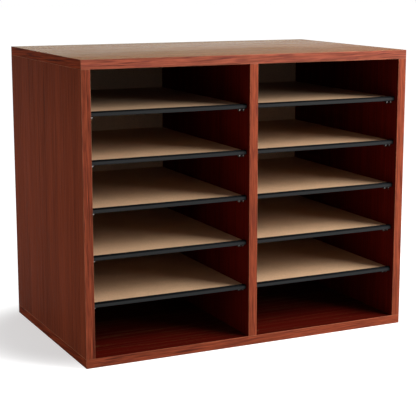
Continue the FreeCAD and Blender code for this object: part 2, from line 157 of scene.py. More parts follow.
class OrganizerCaseSettings(bpy.types.PropertyGroup):
    """Colours and edges of the laminated panels, their bands and the back panel."""

    laminate: colour_setting(
        "Laminate", "Wood print on the panels' outer faces", (0.196, 0.0375, 0.0145, 1.0),
    )
    # Painted shade: the two inner colours are the laminate made darker, to stand in for the shade
    # inside the case.
    inner_wall_painted_shade: colour_setting(
        "Inner walls", "Wood print inside, on the sides and divider", (0.11, 0.006, 0.0027, 1.0),
    )
    inner_floor_painted_shade: colour_setting(
        "Inner floor", "Wood print inside, on the top and the bottom", (0.060, 0.0038, 0.002, 1.0),
    )
    band: colour_setting("Edge band", "Wood print on the front bands", (0.213, 0.0435, 0.019, 1.0))
    # Painted light: the top's front band is paler than the other bands, to stand in for the
    # stronger light and sheen near the top of the front.
    top_band_painted_light: colour_setting(
        "Top band", "Paler print on the top's front band", (0.262, 0.065, 0.036, 1.0),
    )
    end_band: colour_setting("End band", "Wood print on the end bands", (0.215, 0.034, 0.010, 1.0))
    core: colour_setting(
        "Core", "Chipboard that shows at the raw back edges", (0.46, 0.30, 0.16, 1.0),
    )
    # Painted light: the smooth side's pale level stands in for light that reaches the back panel
    # inside the compartments.
    back: colour_setting("Back panel", "Smooth side of the back panel", (0.80, 0.62, 0.43, 1.0))
    rear: colour_setting("Rear", "Rough side of the back panel", (0.34, 0.23, 0.13, 1.0))
    panel_edge: length_setting("Panel edge", "Rounding of the panels' edges", 0.2 * MM)
    band_edge: length_setting("Band edge", "Rounding of the bands' outer edges", 0.35 * MM)
    back_edge: length_setting("Back edge", "Rounding of the back panel's edges", 0.3 * MM)


class OrganizerShelfSettings(bpy.types.PropertyGroup):
    """Colours and sizes of the shelves, their moldings and their pins."""

    board: colour_setting("Board", "Tan hardboard of the shelves", (0.575, 0.375, 0.226, 1.0))
    underside: colour_setting("Underside", "Rough side of the shelves", (0.46, 0.30, 0.17, 1.0))
    plastic: colour_setting("Molding", "Black extruded plastic", (0.006, 0.0066, 0.0072, 1.0))
    # Painted shade: the pins' nickel is made dark to stand in for the shade under the shelves.
    nickel: colour_setting("Pins", "Nickel plating", (0.16, 0.15, 0.145, 1.0))
    board_edge: length_setting("Board edge", "Rounding of the boards' edges", 0.25 * MM)
    wall: length_setting("Molding wall", "Thickness behind the molding's face", 1.4 * MM)
    lip: length_setting("Molding lip", "Thickness of the lips on the board", 1.6 * MM)
    front_round: length_setting("Front rounding", "Radius of the lower front corner", 1.1 * MM)
    upper_round: length_setting("Upper rounding", "Radius of the upper front corner", 1.7 * MM)
    lip_round: length_setting("Lip rounding", "Radius of the lips' back corners", 0.6 * MM)
    end_round: length_setting("End rounding", "Radius where the molding is cut off", 0.12 * MM)
    pin_radius: length_setting("Pin radius", "Radius of a pin's head", 3.175 * MM)
    collar_radius: length_setting("Collar radius", "Radius of the collar at the panel", 3.35 * MM)
    collar_width: length_setting("Collar width", "Thickness of the collar", 1.2 * MM)
    neck_radius: length_setting("Neck radius", "Radius between collar and head", 2.6 * MM)
    neck_width: length_setting("Neck width", "Length between collar and head", 1.4 * MM)
    shank_radius: length_setting("Shank radius", "Radius inside the panel", 2.5 * MM)
    tip_round: length_setting("Tip rounding", "Radius at the end of the head", 1.2 * MM)
    reach: length_setting("Reach", "How far a pin stands out of its panel", 8.3 * MM)


class OrganizerStageSettings(bpy.types.PropertyGroup):
    """Camera, floor and light."""

    camera_place: place_setting(
        "Camera place", "Where the camera stands", (-0.7655, -1.6144, 0.5192),
    )
    azimuth: angle_setting("Azimuth", "Camera's turn about the case", -26.768)
    elevation: angle_setting("Elevation", "Camera's height as an angle", 10.494)
    roll: angle_setting("Roll", "Camera's turn about its own axis", 0.197)
    lens: bpy.props.FloatProperty(
        name="Lens", description="Focal length in millimetres", default=105.11, min=1.0,
    )
    shift_x: bpy.props.FloatProperty(
        name="Shift across", description="Camera shift to the side", default=-0.0659,
    )
    shift_y: bpy.props.FloatProperty(
        name="Shift up", description="Camera shift upwards", default=-0.0293,
    )
    key_place: place_setting(
        "Key place", "Where the large soft lamp stands", (1.33, -0.955, 0.957),
    )
    key_width: length_setting("Key width", "Width of the large soft lamp", 1.53)
    key_height: length_setting("Key height", "Height of the large soft lamp", 0.91)
    key_power: power_setting("Key power", "Power of the large soft lamp", 71.5)
    fill_place: place_setting(
        "Fill place", "Where the weak lamp on the left stands", (-0.61, 0.05, 0.215),
    )
    fill_width: length_setting("Fill width", "Width of the weak lamp", 1.2)
    fill_height: length_setting("Fill height", "Height of the weak lamp", 0.2)
    fill_power: power_setting("Fill power", "Power of the weak lamp", 1.14)
    surround: share_setting("Surround", "Level of the light from all around", 0.15)
    floor_size: length_setting("Floor size", "Side of the floor", 30.0)
    floor: colour_setting("Floor", "Floor as it lights the case", (0.42, 0.42, 0.42, 1.0))


# Meshes

def start_box(low, high):
    """A bmesh of the box between two corners."""
    form = bmesh.new()
    bmesh.ops.create_cube(form, size=1.0)
    bmesh.ops.scale(form, vec=high - low, verts=form.verts)
    bmesh.ops.translate(form, vec=(low + high) / 2, verts=form.verts)
    return form


def start_from_node(node):
    """A bmesh of a CAD node with its loose triangles joined into flat faces."""
    form = bmesh.new()
    form.from_mesh(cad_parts[node].data)
    bmesh.ops.remove_doubles(form, verts=form.verts, dist=WELD_DISTANCE)
    bmesh.ops.dissolve_limit(
        form, angle_limit=FLAT_ANGLE, verts=form.verts, edges=form.edges,
    )
    return form


def round_edges(form, edges, radius, segments):
    bmesh.ops.bevel(
        form, geom=edges, offset=radius, offset_type="OFFSET", segments=segments,
        profile=0.5, affect="EDGES", clamp_overlap=True, material=-1,
    )


def is_aligned(direction):
    """Whether a direction runs along one of the frame's axes."""
    return max(abs(value) for value in direction) > ALIGNED


def long_outer_edges(form, least_length):
    """The sharp outward edges of a form, without those of its small holes."""
    return [
        edge for edge in form.edges
        if edge.is_manifold and edge.is_convex and edge.calc_length() > least_length
        and edge.calc_face_angle() > SHARP_ANGLE
    ]


def mesh_from(form, name):
    """A mesh from a bmesh, which is freed."""
    mesh = bpy.data.meshes.new(name)
    form.to_mesh(mesh)
    form.free()
    return mesh


def add_object(name, data):
    """A new object in the scene."""
    item = bpy.data.objects.new(name, data)
    bpy.context.scene.collection.objects.link(item)
    return item


def finish_piece(form, name, material, body, nodes):
    """Makes a bmesh a piece that rides on a body and stands for its CAD nodes."""
    bmesh.ops.recalc_face_normals(form, faces=form.faces)
    for face in form.faces:
        face.smooth = not is_aligned(face.normal)
    mesh = mesh_from(form, name)
    mark = mesh.attributes.new(EDGE_ATTRIBUTE, "FLOAT", "FACE")
    for polygon in mesh.polygons:
        mark.data[polygon.index].value = 0.0 if is_aligned(polygon.normal) else 1.0
    mesh.materials.append(material)
    piece = add_object(name, mesh)
    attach(piece, body)
    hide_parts(*nodes)


def dress_node(node, material):
    """Gives a CAD node that stays as it is its material."""
    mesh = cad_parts[node].data
    mesh.materials.clear()
    mesh.materials.append(material)


# Shader nodes

def new_group(name, amounts, results):
    """A shader node group that takes a vector and amounts, with its two end nodes."""
    group = bpy.data.node_groups.new(name, "ShaderNodeTree")
    sockets = group.interface
    sockets.new_socket("Vector", in_out="INPUT", socket_type="NodeSocketVector")
    for label, default in amounts.items():
        socket = sockets.new_socket(label, in_out="INPUT", socket_type="NodeSocketFloat")
        socket.default_value = default
    for label in results:
        sockets.new_socket(label, in_out="OUTPUT", socket_type="NodeSocketFloat")
    entry = group.nodes.new("NodeGroupInput")
    result = group.nodes.new("NodeGroupOutput")
    return group, entry, result


def put(tree, socket, value):
    """Sets a socket to a value, or links it when the value is a socket."""
    if isinstance(value, bpy.types.NodeSocket):
        tree.links.new(value, socket)
    else:
        socket.default_value = value


def calculate(tree, operation, first, second, clamp=False):
    node = tree.nodes.new("ShaderNodeMath")
    node.operation = operation
    node.use_clamp = clamp
    put(tree, node.inputs[0], first)
    put(tree, node.inputs[1], second)
    return node.outputs[0]


def stretch(tree, vector, scale, place=(0.0, 0.0, 0.0), turn=(0.0, 0.0, 0.0)):
    node = tree.nodes.new("ShaderNodeMapping")
    put(tree, node.inputs["Vector"], vector)
    put(tree, node.inputs["Scale"], scale)
    put(tree, node.inputs["Location"], place)
    put(tree, node.inputs["Rotation"], turn)
    return node.outputs["Vector"]


def noise(tree, vector, scale=1.0, detail=2.0, roughness=0.5, distortion=0.0):
    node = tree.nodes.new("ShaderNodeTexNoise")
    put(tree, node.inputs["Vector"], vector)
    put(tree, node.inputs["Scale"], scale)
    put(tree, node.inputs["Detail"], detail)
    put(tree, node.inputs["Roughness"], roughness)
    put(tree, node.inputs["Distortion"], distortion)
    return node.outputs[0]


def spread(tree, value, low, high, to_low=0.0, to_high=1.0):
    """Maps a value smoothly from one range to another, and holds it there."""
    node = tree.nodes.new("ShaderNodeMapRange")
    node.interpolation_type = "SMOOTHSTEP"
    put(tree, node.inputs["Value"], value)
    put(tree, node.inputs["From Min"], low)
    put(tree, node.inputs["From Max"], high)
    put(tree, node.inputs["To Min"], to_low)
    put(tree, node.inputs["To Max"], to_high)
    return node.outputs["Result"]


def blend(tree, share, first, second, mode="MIX"):
    """Mixes two colours."""
    node = tree.nodes.new("ShaderNodeMix")
    node.data_type = "RGBA"
    node.blend_type = mode
    put(tree, node.inputs["Factor"], share)
    put(tree, node.inputs[6], first)
    put(tree, node.inputs[7], second)
    return node.outputs[2]


def brighten(tree, colour, factor):
    """Multiplies a colour by a grey factor."""
    node = tree.nodes.new("ShaderNodeVectorMath")
    node.operation = "SCALE"
    node.inputs[0].default_value = colour[:3]
    put(tree, node.inputs["Scale"], factor)
    return node.outputs[0]


def use_group(tree, group, **values):
    """Places a node group and sets its inputs, named with underscores for spaces."""
    node = tree.nodes.new("ShaderNodeGroup")
    node.node_tree = group
    for name, value in values.items():
        put(tree, node.inputs[name.replace("_", " ")], value)
    return node


def grain_turn(grain, lean):
    """The turn that brings a grain direction, leaning a little, onto the first axis."""
    if grain == DEEP:
        return (lean, 0.0, QUARTER_TURN)
    if grain == UP:
        return (0.0, QUARTER_TURN + lean, 0.0)
    return (0.0, lean, 0.0)


def split_axes(tree, vector):
    """The parts of a vector along its three axes."""
    node = tree.nodes.new("ShaderNodeSeparateXYZ")
    put(tree, node.inputs[0], vector)
    return node.outputs


def join_axes(tree, *parts):
    """A vector from its parts. Those left out are nought."""
    node = tree.nodes.new("ShaderNodeCombineXYZ")
    for socket, part in zip(node.inputs, parts):
        put(tree, socket, part)
    return node.outputs[0]


NOISE_MEAN = 0.5


def swing(tree, value, *factors):
    """A noise's distance from its mean, times the factors."""
    value = calculate(tree, "SUBTRACT", value, NOISE_MEAN)
    for factor in factors:
        value = calculate(tree, "MULTIPLY", value, factor)
    return value


def total(tree, first, *others):
    """The sum of all the values, added in their order."""
    for other in others:
        first = calculate(tree, "ADD", first, other)
    return first


# The wood grain's densities are per metre, first along the grain and then across it.
WANDER_DENSITY = (2.5, 12.0, 12.0)
WANDER_REACH = 0.02
BROAD_DENSITY = (1.1, 24.0, 24.0)
BROAD_SHARE = 0.6
FINE_DENSITY = (14.0, 620.0, 620.0)
STREAK_PLACE = (0.37, 0.61, 0.23)
STREAK_RANGE = (0.52, 0.62)
TONE_REACH = 2.0


def make_grain_group():
    """Wood grain that runs along the first axis of its vector, given in metres."""
    group, entry, result = new_group(
        "Wood grain",
        {"Stripe Width": 0.006, "Stripe Depth": 0.3, "Streak Depth": 0.3, "Waviness": 0.3,
         "Width To Length": 0.01},
        ("Tone", "Streaks", "Height"),
    )
    vector = entry.outputs["Vector"]
    stripe_depth = entry.outputs["Stripe Depth"]
    wander = noise(group, stretch(group, vector, WANDER_DENSITY), detail=1.0)
    wander = swing(group, wander, entry.outputs["Waviness"], WANDER_REACH)
    bend = group.nodes.new("ShaderNodeVectorMath")
    bend.operation = "ADD"
    put(group, bend.inputs[0], vector)
    put(group, bend.inputs[1], join_axes(group, 0.0, wander, wander))
    bent = bend.outputs[0]

    across = calculate(group, "DIVIDE", 1.0, entry.outputs["Stripe Width"])
    along = calculate(group, "MULTIPLY", across, entry.outputs["Width To Length"])
    density = join_axes(group, along, across, across)
    stripe_place = stretch(group, bent, density)
    streak_place = stretch(group, bent, density, STREAK_PLACE)
    stripes = noise(group, stripe_place, detail=3.0, roughness=0.6)
    broad = noise(group, stretch(group, bent, BROAD_DENSITY), detail=2.0)
    fine = noise(group, stretch(group, bent, FINE_DENSITY), detail=3.0, roughness=0.6)
    streaks = noise(group, streak_place, detail=2.0)

    tone = total(
        group,
        swing(group, stripes, stripe_depth),
        swing(group, broad, stripe_depth, BROAD_SHARE),
        swing(group, fine, entry.outputs["Streak Depth"]),
    )
    tone = calculate(group, "MULTIPLY", tone, TONE_REACH)
    streaks = spread(group, streaks, *STREAK_RANGE)
    put(group, result.inputs["Tone"], calculate(group, "ADD", tone, 1.0))
    put(group, result.inputs["Streaks"], streaks)
    put(group, result.inputs["Height"], calculate(group, "SUBTRACT", fine, streaks))
    return group


MOTTLE_DENSITY_SHARE = 0.09
MOTTLE_SHARE = 0.25
SPECK_STRETCH = (1.0, 0.45, 1.0)
SPECK_RANGE = (0.62, 0.74)


def make_fibre_group():
    """Pressed fibres and specks, for hardboard and for the chipboard core."""
    group, entry, result = new_group(
        "Pressed fibre", {"Speck Size": 0.001, "Depth": 0.2}, ("Tone", "Specks", "Height"),
    )
    vector = entry.outputs["Vector"]
    density = calculate(group, "DIVIDE", 1.0, entry.outputs["Speck Size"])
    mottle_density = calculate(group, "MULTIPLY", density, MOTTLE_DENSITY_SHARE)
    fine = noise(group, vector, density, detail=4.0, roughness=0.65, distortion=0.6)
    mottle = noise(group, vector, mottle_density, detail=3.0, roughness=0.55)
    specks = noise(group, stretch(group, vector, SPECK_STRETCH), density, detail=1.0)
    tone = total(group, swing(group, fine), swing(group, mottle, MOTTLE_SHARE))
    tone = calculate(group, "MULTIPLY", tone, entry.outputs["Depth"])
    put(group, result.inputs["Tone"], calculate(group, "ADD", tone, 1.0))
    put(group, result.inputs["Specks"], spread(group, specks, *SPECK_RANGE))
    put(group, result.inputs["Height"], fine)
    return group


HANDLING_DENSITY = 14.0
HANDLING_REACH = 2.0


def make_handling_group():
    """Slow changes of sheen where hands and cloths have passed."""
    group, entry, result = new_group("Handling", {"Amount": 0.06}, ("Roughness Change",))
    patches = noise(
        group, entry.outputs["Vector"], HANDLING_DENSITY, detail=4.0, roughness=0.6,
        distortion=0.8,
    )
    change = swing(group, patches, entry.outputs["Amount"], HANDLING_REACH)
    put(group, result.inputs["Roughness Change"], change)
    return group


WEAR_DENSITY = 55.0
WEAR_RANGE = (0.35, 0.7)
LEAST_WEAR = 0.45


def make_wear_and_highlight_group():
    """Rubbed edges and painted highlight: the piece's rounded edges, broken up, as a mask."""
    group, entry, result = new_group("Edge wear and highlight", {"Amount": 0.5}, ("Wear",))
    edge = group.nodes.new("ShaderNodeAttribute")
    edge.attribute_name = EDGE_ATTRIBUTE
    broken = noise(group, entry.outputs["Vector"], WEAR_DENSITY, detail=4.0, roughness=0.7)
    broken = spread(group, broken, *WEAR_RANGE, to_low=LEAST_WEAR)
    wear = calculate(group, "MULTIPLY", edge.outputs["Fac"], broken)
    wear = calculate(group, "MULTIPLY", wear, entry.outputs["Amount"])
    put(group, result.inputs["Wear"], wear)
    return group


def shared_group(name, maker):
    """The group of that name, made the first time that it is asked for."""
    return bpy.data.node_groups.get(name) or maker()


def add_grain(tree, place, grain, look):
    """Wood grain that runs along one axis of the frame."""
    turn = grain_turn(grain, look["lean"])
    return use_group(
        tree, shared_group("Wood grain", make_grain_group),
        Vector=stretch(tree, place, UNSCALED, look["place"], turn),
        Stripe_Width=look["stripe_width"], Stripe_Depth=look["stripe_depth"],
        Streak_Depth=look["streak_depth"], Waviness=look["waviness"],
        Width_To_Length=look["width_to_length"],
    )


def add_fibre(tree, place, look):
    group = shared_group("Pressed fibre", make_fibre_group)
    return use_group(
        tree, group, Vector=place, Speck_Size=look["speck_size"], Depth=look["depth"],
    )


def add_wear_and_highlight(tree, place, amount):
    group = shared_group("Edge wear and highlight", make_wear_and_highlight_group)
    return use_group(tree, group, Vector=place, Amount=amount).outputs["Wear"]


def add_handling(tree, place, amount):
    group = shared_group("Handling", make_handling_group)
    return use_group(tree, group, Vector=place, Amount=amount).outputs["Roughness Change"]


def new_material(name):
    """A material with its tree, its shader and the piece's own coordinates."""
    material = bpy.data.materials.new(name)
    material.use_nodes = True
    tree = material.node_tree
    shader = tree.nodes["Principled BSDF"]
    coordinates = tree.nodes.new("ShaderNodeTexCoord")
    return material, tree, shader, coordinates


def add_bump(tree, shader, height, distance):
    bump = tree.nodes.new("ShaderNodeBump")
    put(tree, bump.inputs["Height"], height)
    bump.inputs["Distance"].default_value = distance
    bump.inputs["Strength"].default_value = 1.0
    tree.links.new(bump.outputs["Normal"], shader.inputs["Normal"])


FACING_LIMIT = 0.5


def facing(tree, coordinates, axis, sign):
    """A mask of the faces that look one way along an axis of the frame."""
    normal = split_axes(tree, coordinates.outputs["Normal"])
    turned = calculate(tree, "MULTIPLY", normal[axis], sign)
    return calculate(tree, "GREATER_THAN", turned, FACING_LIMIT)


def print_roughness(tree, place, streaks, look):
    """Roughness of the print: handled, duller to the front and in the pores."""
    front = look["front_dullness"]
    depth = split_axes(tree, place)["Y"]
    dullness = spread(tree, depth, FRONT_Y, BACK_Y, front, -front)
    pores = calculate(tree, "MULTIPLY", streaks, look["pore_dullness"])
    handling = add_handling(tree, place, look["handling"])
    roughness = total(tree, handling, look["roughness"], dullness)
    return calculate(tree, "ADD", roughness, pores, clamp=True)


CHIPBOARD_LOOK = {
    "speck_size": 0.0022,
    "depth": 0.7,
    "chip": (0.2, 0.11, 0.05, 1.0),
    "chip_share": 0.6,
    "roughness": 0.35,
    "height": 6.0,
}


def show_core(tree, coordinates, core, colour, roughness, height):
    """Puts raw chipboard on the faces to the back, in colour, roughness and height."""
    look = CHIPBOARD_LOOK
    raw = facing(tree, coordinates, DEEP, 1)
    chips = add_fibre(tree, coordinates.outputs["Object"], look)
    core_colour = brighten(tree, core, chips.outputs["Tone"])
    chip_share = calculate(tree, "MULTIPLY", chips.outputs["Specks"], look["chip_share"])
    core_colour = blend(tree, chip_share, core_colour, look["chip"])
    core_roughness = calculate(tree, "MULTIPLY", raw, look["roughness"])
    core_height = calculate(tree, "MULTIPLY", chips.outputs["Height"], look["height"])
    core_height = calculate(tree, "MULTIPLY", core_height, raw)
    return (
        blend(tree, raw, colour, core_colour),
        calculate(tree, "ADD", roughness, core_roughness, clamp=True),
        calculate(tree, "ADD", height, core_height),
    )


SHEEN_ROUGHNESS = 0.15
SHEEN_TINT = (1.0, 0.83, 0.3, 1.0)


def make_wood_material(name, colour, grain, look, core=None, painted_shade_sides=(), inner=None):
    """Printed wood grain. With a core colour, the faces to the back are raw board. With painted
    shade sides, the faces that look into the case take the darker inner colour, which is painted
    shade.
    """
    material, tree, shader, coordinates = new_material(name)
    place = coordinates.outputs["Object"]
    wood = add_grain(tree, place, grain, look)
    tone = wood.outputs["Tone"]
    streaks = wood.outputs["Streaks"]
    print_colour = brighten(tree, colour, tone)
    # Painted shade: faces that look into the case take the darker inner colour.
    for axis, sign in painted_shade_sides:
        inside = facing(tree, coordinates, axis, sign)
        print_colour = blend(tree, inside, print_colour, brighten(tree, inner, tone))
    streak_share = calculate(tree, "MULTIPLY", streaks, look["streak_share"])
    print_colour = blend(tree, streak_share, print_colour, look["streak_tint"], "MULTIPLY")
    # The paler rounded edges are partly rubbed wear and partly a painted highlight along the
    # edges.
    wear = add_wear_and_highlight(tree, place, look["wear"])
    print_colour = blend(tree, wear, print_colour, look["worn_and_highlight"])
    roughness = print_roughness(tree, place, streaks, look)
    height = wood.outputs["Height"]
    if core is not None:
        print_colour, roughness, height = show_core(
            tree, coordinates, core, print_colour, roughness, height,
        )
    put(tree, shader.inputs["Base Color"], print_colour)
    put(tree, shader.inputs["Roughness"], roughness)
    shader.inputs["Specular IOR Level"].default_value = look["gloss"]
    shader.inputs["Sheen Weight"].default_value = look["sheen"]
    shader.inputs["Sheen Roughness"].default_value = SHEEN_ROUGHNESS
    shader.inputs["Sheen Tint"].default_value = SHEEN_TINT
    add_bump(tree, shader, height, look["relief"])
    return material


LAMINATE_LOOK = {
    "place": (0.31, 0.07, 0.19),
    "lean": 0.0,
    "stripe_width": 0.003,
    "stripe_depth": 0.48,
    "streak_depth": 0.6,
    "width_to_length": 0.008,
    "waviness": 0.2,
    "streak_share": 0.3,
    "streak_tint": (0.55, 0.6, 1.0, 1.0),
    "wear": 0.2,
    "worn_and_highlight": (0.50, 0.22, 0.12, 1.0),
    "handling": 0.07,
    "front_dullness": 0.11,
    "pore_dullness": 0.25,
    "roughness": 0.105,
    "gloss": 0.0007,
    "relief": 0.1 * MM,
    "sheen": 0.24,
}
BAND_LOOK = {
    "place": (1.7, 0.43, 0.9),
    "lean": math.radians(1.0),
    "stripe_width": 0.0014,
    "stripe_depth": 0.95,
    "streak_depth": 0.9,
    "width_to_length": 0.04,
    "waviness": 0.5,
    "streak_share": 0.9,
    "streak_tint": (0.6, 0.55, 0.7, 1.0),
    # The band's edge mark is partly wear and partly a painted highlight.
    "wear": 0.35,
    "worn_and_highlight": (0.55, 0.25, 0.13, 1.0),
    "handling": 0.07,
    "front_dullness": 0.0,
    "pore_dullness": 0.1,
    "roughness": 0.42,
    "gloss": 0.04,
    "relief": 0.02 * MM,
    "sheen": 0.0,
}
END_BAND_LOOK = {
    **BAND_LOOK,
    "lean": math.radians(3.5),
    "stripe_width": 0.0025,
    "stripe_depth": 0.85,
    "width_to_length": 0.03,
    "waviness": 1.2,
    "streak_tint": (0.45, 0.4, 0.5, 1.0),
    # A strong edge mark: partly wear, partly the painted highlight of the light line along the end
    # bands' edges.
    "wear": 0.8,
    "roughness": 0.2,
    "gloss": 0.001,
}

SCREEN_RANDOMNESS = 0.12


def make_hardboard_material(name, colour, rough_colour, look):
    """Smooth pressed board. Faces of its rough side carry the mark of a wire screen."""
    material, tree, shader, coordinates = new_material(name)
    place = coordinates.outputs["Object"]
    fibre = add_fibre(tree, place, look)
    drawn = noise(tree, stretch(tree, place, look["drawn"]), detail=3.0, roughness=0.55)
    drawn = swing(tree, drawn, look["drawn_depth"])
    tone = calculate(tree, "ADD", fibre.outputs["Tone"], drawn)
    rough_side = facing(tree, coordinates, *look["rough_side"])
    board = blend(
        tree, rough_side, brighten(tree, colour, tone), brighten(tree, rough_colour, tone),
    )
    speck_share = calculate(tree, "MULTIPLY", fibre.outputs["Specks"], look["speck_share"])
    board = blend(tree, speck_share, board, look["speck"])
    board = blend(tree, add_wear_and_highlight(tree, place, look["wear"]), board, look["worn_and_highlight"])
    put(tree, shader.inputs["Base Color"], board)
    handling = add_handling(tree, place, look["handling"])
    roughness = calculate(tree, "ADD", handling, look["roughness"])
    put(tree, shader.inputs["Roughness"], roughness)
    shader.inputs["Specular IOR Level"].default_value = look["gloss"]

    screen = tree.nodes.new("ShaderNodeTexVoronoi")
    screen.voronoi_dimensions = "3D"
    screen.inputs["Randomness"].default_value = SCREEN_RANDOMNESS
    screen.inputs["Scale"].default_value = look["screen_density"]
    tree.links.new(place, screen.inputs["Vector"])
    screen_height = calculate(tree, "MULTIPLY", screen.outputs["Distance"], rough_side)
    screen_height = calculate(tree, "MULTIPLY", screen_height, look["screen_height"])
    height = calculate(tree, "ADD", fibre.outputs["Height"], screen_height)
    add_bump(tree, shader, height, look["relief"])
    return material


BOARD_LOOK = {
    "speck_size": 0.0014,
    "depth": 0.9,
    "drawn": (14.0, 90.0, 14.0),
    "drawn_depth": 0.07,
    "speck": (0.36, 0.20, 0.10, 1.0),
    "speck_share": 0.34,
    "wear": 0.4,
    "worn_and_highlight": (0.70, 0.50, 0.33, 1.0),
    "handling": 0.08,
    "roughness": 0.5,
    "gloss": 0.3,
    "rough_side": (UP, -1),
    "screen_density": 620.0,
    "screen_height": 6.0,
    "relief": 0.02 * MM,
}
BACK_LOOK = {
    **BOARD_LOOK,
    "speck_size": 0.0012,
    "depth": 0.3,
    "drawn": (70.0, 70.0, 4.0),
    "drawn_depth": 0.22,
    "speck": (0.14, 0.085, 0.045, 1.0),
    "speck_share": 0.4,
    "worn_and_highlight": (0.42, 0.30, 0.19, 1.0),
    "roughness": 0.6,
    "rough_side": (DEEP, 1),
    "screen_height": 8.0,
    "relief": 0.03 * MM,
}

PLASTIC_LOOK = {
    "line_density": (3.0, 2200.0, 2200.0),
    "line_range": (0.3, 0.7),
    "line_tone": (0.85, 1.2),
    "grain_density": 1600.0,
    "wear": 0.06,
    "worn_and_highlight": (0.03, 0.032, 0.035, 1.0),
    "handling": 0.1,
    "roughness": 0.36,
    "coat": 0.33,
    "coat_end": 0.12,
    "relief": 0.008 * MM,
}


def make_plastic_material(name, colour, look):
    """Black extruded plastic with faint draw lines, shiny but for its upper side."""
    material, tree, shader, coordinates = new_material(name)
    place = coordinates.outputs["Object"]
    lines = noise(tree, stretch(tree, place, look["line_density"]), detail=2.0)
    grains = noise(tree, place, look["grain_density"], detail=2.0)
    tone = spread(tree, lines, *look["line_range"], *look["line_tone"])
    wear = add_wear_and_highlight(tree, place, look["wear"])
    plastic = blend(tree, wear, brighten(tree, colour, tone), look["worn_and_highlight"])
    put(tree, shader.inputs["Base Color"], plastic)
    handling = add_handling(tree, place, look["handling"])
    roughness = calculate(tree, "ADD", handling, look["roughness"])
    put(tree, shader.inputs["Roughness"], roughness)
    shader.inputs["Specular IOR Level"].default_value = 0.0
    upwards = split_axes(tree, coordinates.outputs["Normal"])["Z"]
    coat = spread(tree, upwards, 0.0, look["coat_end"], look["coat"], 0.0)
    put(tree, shader.inputs["Coat Weight"], coat)
    shader.inputs["Coat Roughness"].default_value = look["roughness"]
    add_bump(tree, shader, calculate(tree, "ADD", lines, grains), look["relief"])
    return material


PIN_LOOK = {
    "mark_density": (2500.0, 200.0, 200.0),
    "roughness": 0.26,
    "tarnish_share": 0.2,
}
NAIL_LOOK = {
    "mark_density": (900.0, 900.0, 900.0),
    "roughness": 0.38,
    "tarnish_share": 0.5,
}
NAIL_STEEL = (0.42, 0.42, 0.43, 1.0)
TARNISH = (0.2, 0.17, 0.13, 1.0)
SPOT_DENSITY = 320.0
SPOT_RANGE = (0.5, 0.75)
MARK_RANGE = (0.25, 0.75)
MARK_TONE = (0.88, 1.08)
MARK_ROUGHNESS = (-0.06, 0.08)
MARK_RELIEF = 0.006 * MM


def make_metal_material(name, colour, look):
    """Drawn metal with turning marks and a little tarnish."""
    material, tree, shader, coordinates = new_material(name)
    place = coordinates.outputs["Object"]
    marks = noise(tree, stretch(tree, place, look["mark_density"]), detail=3.0, roughness=0.6)
    spots = noise(tree, place, SPOT_DENSITY, detail=4.0, roughness=0.65)
    spot_share = spread(tree, spots, *SPOT_RANGE, 0.0, look["tarnish_share"])
    metal = brighten(tree, colour, spread(tree, marks, *MARK_RANGE, *MARK_TONE))
    metal = blend(tree, spot_share, metal, TARNISH)
    put(tree, shader.inputs["Base Color"], metal)
    shader.inputs["Metallic"].default_value = 1.0
    least, most = (look["roughness"] + change for change in MARK_ROUGHNESS)
    put(tree, shader.inputs["Roughness"], spread(tree, marks, *MARK_RANGE, least, most))
    add_bump(tree, shader, marks, MARK_RELIEF)
    return material


DOWEL_LOOK = {
    "place": (0.2, 0.5, 0.1),
    "lean": 0.0,
    "stripe_width": 0.002,
    "stripe_depth": 0.25,
    "streak_depth": 0.3,
    "width_to_length": 0.01,
    "waviness": 0.2,
    "beech": (0.56, 0.38, 0.22, 1.0),
    "fleck": (0.33, 0.18, 0.09, 1.0),
    "fleck_share": 0.5,
    "roughness": 0.6,
    "relief": 0.05 * MM,
}


def make_dowel_material(name, look):
    """Bare beech with its flecks, grain upwards."""
    material, tree, shader, coordinates = new_material(name)
    wood = add_grain(tree, coordinates.outputs["Object"], UP, look)
    beech = brighten(tree, look["beech"], wood.outputs["Tone"])
    fleck_share = calculate(tree, "MULTIPLY", wood.outputs["Streaks"], look["fleck_share"])
    beech = blend(tree, fleck_share, beech, look["fleck"])
    put(tree, shader.inputs["Base Color"], beech)
    shader.inputs["Roughness"].default_value = look["roughness"]
    add_bump(tree, shader, wood.outputs["Height"], look["relief"])
    return material


# The case

LEAST_PANEL_EDGE = 25 * MM


def make_panels():
    settings = bpy.context.scene.organizer_case
    for node, (grain, painted_shade_sides) in PANELS.items():
        form = start_from_node(node)
        outer_edges = long_outer_edges(form, LEAST_PANEL_EDGE)
        round_edges(form, outer_edges, settings.panel_edge, segments=2)
        # The darker inner colours are painted shade.
        inner = settings.inner_floor_painted_shade if grain == ACROSS else settings.inner_wall_painted_shade
        material = make_wood_material(
            f"{node}_laminate", settings.laminate, grain, LAMINATE_LOOK, settings.core,
            painted_shade_sides, inner,
        )
        finish_piece(form, f"{node}_board", material, CASE_BODY, [node])


def outward_side(node):
    """The axis and the sign of the way that an edge band faces."""
    low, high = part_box(node)
    size = high - low
    axis = min(range(3), key=lambda number: size[number])
    middle = (low + high) / 2
    return axis, 1 if middle[axis] > 0 else -1


def band_print(node, grain, settings):
    """The colour and the look of an edge band's print."""
    if grain == DEEP:
        return settings.end_band, END_BAND_LOOK
    # The top's front band takes its paler colour: painted light.
    if node == TOP_FRONT_BAND:
        return settings.top_band_painted_light, BAND_LOOK
    return settings.band, BAND_LOOK


